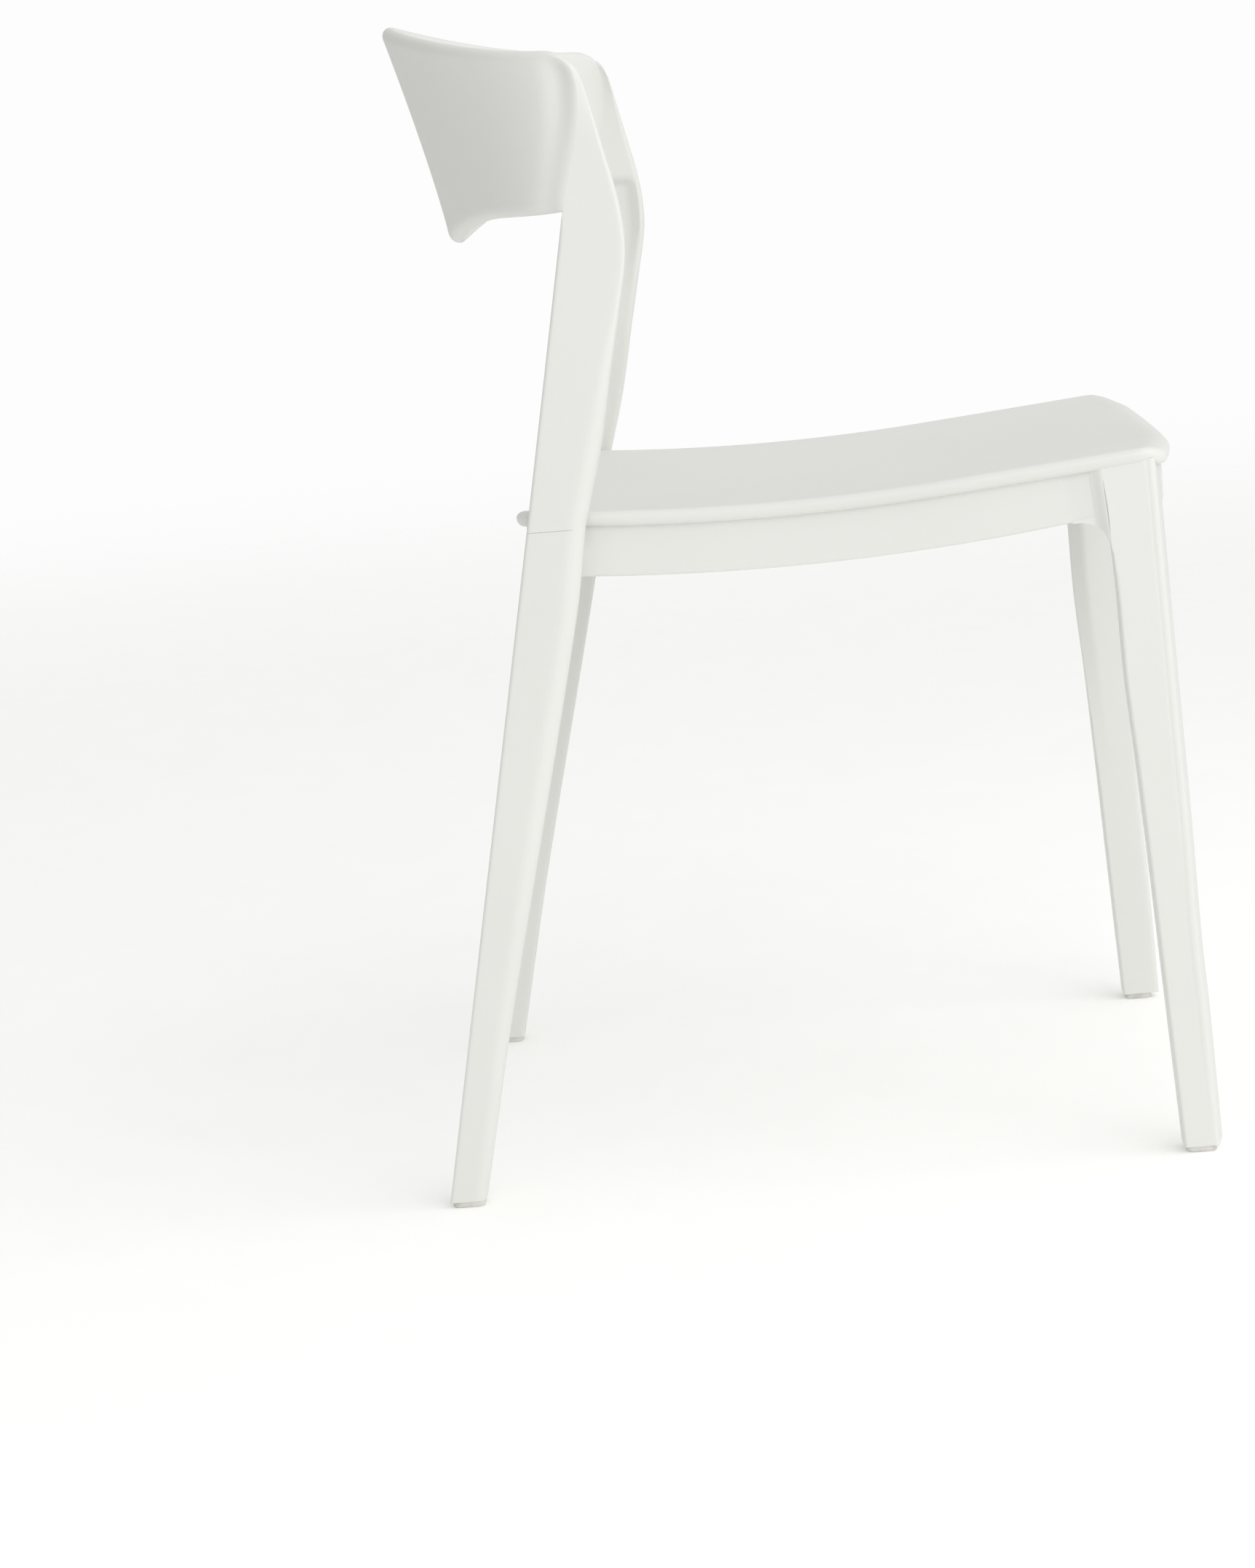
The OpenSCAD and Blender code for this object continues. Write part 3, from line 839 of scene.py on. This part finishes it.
def makeApronRing():
    columns = len(seatRing(0))
    outer, wall = apronShape["inset"], apronShape["wall"]
    low, round_ = apronShape["depth"], apronShape["edgeRadius"]
    flangeTop = low - apronShape["flangeWall"]
    flangeEnd = outer + wall + apronShape["flange"]
    section = [(outer, seatShape["lip"] - 1.5), (outer, 16), (outer, low - 4), (outer, low - round_)]
    section += [(outer + round_ * (1 - cos(radians(a))), low - round_ * (1 - sin(radians(a)))) for a in (30, 60, 90)]
    section += [(outer + 4, low), (flangeEnd - 0.7, low), (flangeEnd, low - 0.7), (flangeEnd, flangeTop + 0.7),
                (flangeEnd - 0.7, flangeTop), (outer + wall + 1.5, flangeTop),
                (outer + wall + 0.4, flangeTop - 0.4), (outer + wall, flangeTop - 1.5),
                (outer + wall, seatShape["lip"] - 1.5)]

    def place(column, row, isInner):
        inset, depth = section[row % len(section)]
        x, y, _ = seatRing(inset)[column % columns]
        return x, y, dishHeight(x, y, depth)

    ring = mouldSheet(columns, len(section), place, wall=False)
    closeUp(ring)
    return ring


def legOuter(height):
    return frontLegShape["outerTop"] + (frontLegShape["topHeight"] - height) * tan(radians(frontLegShape["splay"]))


def archHeight(y):
    # lower edge of the cove, from the leg's rear edge round to the apron's lower edge
    legRear = follow(frontLegShape["rearEdge"], frontLegShape["archTop"] - frontLegShape["archRadius"])
    radius = frontLegShape["archRadius"]
    along = min(max(y - legRear, 0), radius)
    return frontLegShape["archTop"] - radius + sqrt(max(radius ** 2 - (radius - along) ** 2, 0))


def makeFrontLeg(side):
    columns, rows = frontLegShape["columns"], frontLegShape["rows"]
    wing, wingRows = frontLegShape["wingColumns"], frontLegShape["wingRows"]
    archStart = frontLegShape["archTop"] - frontLegShape["archRadius"]
    apronFace = seatHalf - apronShape["inset"]
    wingEnd = frontLegShape["wingEnd"]
    nearTop = frontLegShape["topHeight"]

    def topHeight(y):
        return dishHeight(legOuter(nearTop) - 2, y, seatShape["lip"] - 2.5)

    def keep(column, row):
        return column >= wing or row >= rows - wingRows

    def leg(column, row, isInner):
        rearAtTop = follow(frontLegShape["rearEdge"], nearTop)
        if row <= rows - wingRows:
            height = glideTop + spread(row, rows - wingRows, seamSteps, [0], archStart - glideTop)
        else:
            height = mix(archStart, topHeight(rearAtTop), (row - rows + wingRows) / wingRows)
        front = follow(frontLegShape["frontEdge"], height)
        rear = follow(frontLegShape["rearEdge"], height)
        ahead = spread(column, columns, smallSteps[:-1] + [4.5], legFrontSteps, rear - front)
        y = rear - ahead
        share = max(row - rows + wingRows, 0) / wingRows
        height += (topHeight(y) - topHeight(rearAtTop)) * share
        toFront = rear - front - ahead
        nearArch = ease(archStart - 26, archStart, height)
        rearRadius = 2.0 * (1 - nearArch)
        partLine = frontLegShape["partLine"] * exp(-((toFront - 5.2) / 0.32) ** 2)
        outside = max(rounding(toFront, 3.2), rounding(ahead, rearRadius)) + partLine
        outside = max(outside, rounding(height - glideTop, 0.6))
        outer = legOuter(height) - outside
        if not isInner:
            return outer, y, height
        chamfer = mix(0, 8, ease(150, 420, height)) * max(1 - ahead / 9, 0)
        inside = max(rounding(toFront, 3), rounding(height - glideTop, 0.6), chamfer, rounding(ahead, 1.5))
        forward = 4 * (ahead / (rear - front)) ** 2
        return legOuter(height) - frontLegShape["thick"] + inside, y - forward, height

    def cove(column, row, isInner):
        share = (row - rows + wingRows) / wingRows
        edge = leg(0, row, False)
        along = 1 - column / wing  # 0 at the leg, 1 at the far end
        y = mix(follow(frontLegShape["rearEdge"], archStart), wingEnd, along ** 1.5)
        low = archHeight(y)
        height = mix(low, topHeight(y), share)
        y = mix(y, edge[1] + (y - follow(frontLegShape["rearEdge"], archStart)), share)
        fade = ease(0, frontLegShape["coveWidth"], y - edge[1])
        x = mix(legOuter(height), apronFace - 0.15, fade)
        if not isInner:
            return x, y, height
        innerFade = ease(0, 1, along)
        inner = mix(legOuter(height) - frontLegShape["thick"] + 8, apronFace - apronShape["wall"] + 0.15, innerFade)
        return inner, y, height

    def place(column, row, isInner):
        if column >= wing:
            x, y, z = leg(column - wing, row, isInner)
        else:
            x, y, z = cove(column, row, isInner)
        return side * x, y, z

    bar = mouldSheet(wing + columns, rows, place, keep)
    closeUp(bar)
    return bar


def makeSeatFrame():
    seatFrame = makeApronRing()
    addPart(seatFrame, makeFrontLeg(1))
    addPart(seatFrame, makeFrontLeg(-1))
    return finishPiece("seatFrame", seatFrame, ["seat_frame"], plastic)


makeSeatFrame()
print("seat frame is done")

# glides ----

glideShape = {"corner": 4.5, "bottom": 1.4, "narrow": 0.6}


def makeGlide(name, node):
    low, high = (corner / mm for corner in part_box(node))
    narrow = glideShape["narrow"]
    glide = bmesh.new()
    bmesh.ops.create_cube(glide, size=1)
    width, length = high.x - low.x - 2 * narrow, high.y - low.y - 2 * narrow
    bmesh.ops.scale(glide, verts=glide.verts[:], vec=(width * mm, length * mm, glideTop * mm))
    middle = Vector(((low.x + high.x) / 2, (low.y + high.y) / 2, glideTop / 2))
    bmesh.ops.translate(glide, verts=glide.verts[:], vec=middle * mm)
    upright = [e for e in glide.edges if abs(e.verts[0].co.z - e.verts[1].co.z) > mm]
    bmesh.ops.bevel(glide, geom=upright, offset=glideShape["corner"] * mm, segments=5, profile=0.5,
                    affect="EDGES", material=-1)
    under = [e for e in glide.edges if max(v.co.z for v in e.verts) < 0.1 * mm]
    bmesh.ops.bevel(glide, geom=under, offset=glideShape["bottom"] * mm, segments=4, profile=0.5,
                    affect="EDGES", material=-1)
    finishPiece(name, glide, [node], glidePlastic)


makeGlide("glideRearLeft", "rear_left_glide")
makeGlide("glideRearRight", "rear_right_glide")
makeGlide("glideFrontLeft", "front_left_glide")
makeGlide("glideFrontRight", "front_right_glide")
print("glides are done")

# CAD pieces that stay get their own finishes ----

keptFinishes = {"pad": padRubber, "seat_screws": zincSteel, "leg_bolts": zincSteel, "leg_washers": zincSteel,
                "leg_inserts": insertBrass}

for nodeName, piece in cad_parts.items():
    for ending, finish in keptFinishes.items():
        if nodeName.endswith(ending):
            piece.data.materials.clear()
            piece.data.materials.append(finish)

# studio floor ----

floorReach = 12  # metres each way, past where the paper fades out
floorMesh = bmesh.new()
bmesh.ops.create_grid(floorMesh, x_segments=8, y_segments=8, size=floorReach)
paperMesh = bpy.data.meshes.new("studioFloor")
floorMesh.to_mesh(paperMesh)
floorMesh.free()
paperMesh.materials.append(makeFloorPaper())
studioFloor = bpy.data.objects.new("studioFloor", paperMesh)
bpy.context.scene.collection.objects.link(studioFloor)
print("floor is laid")
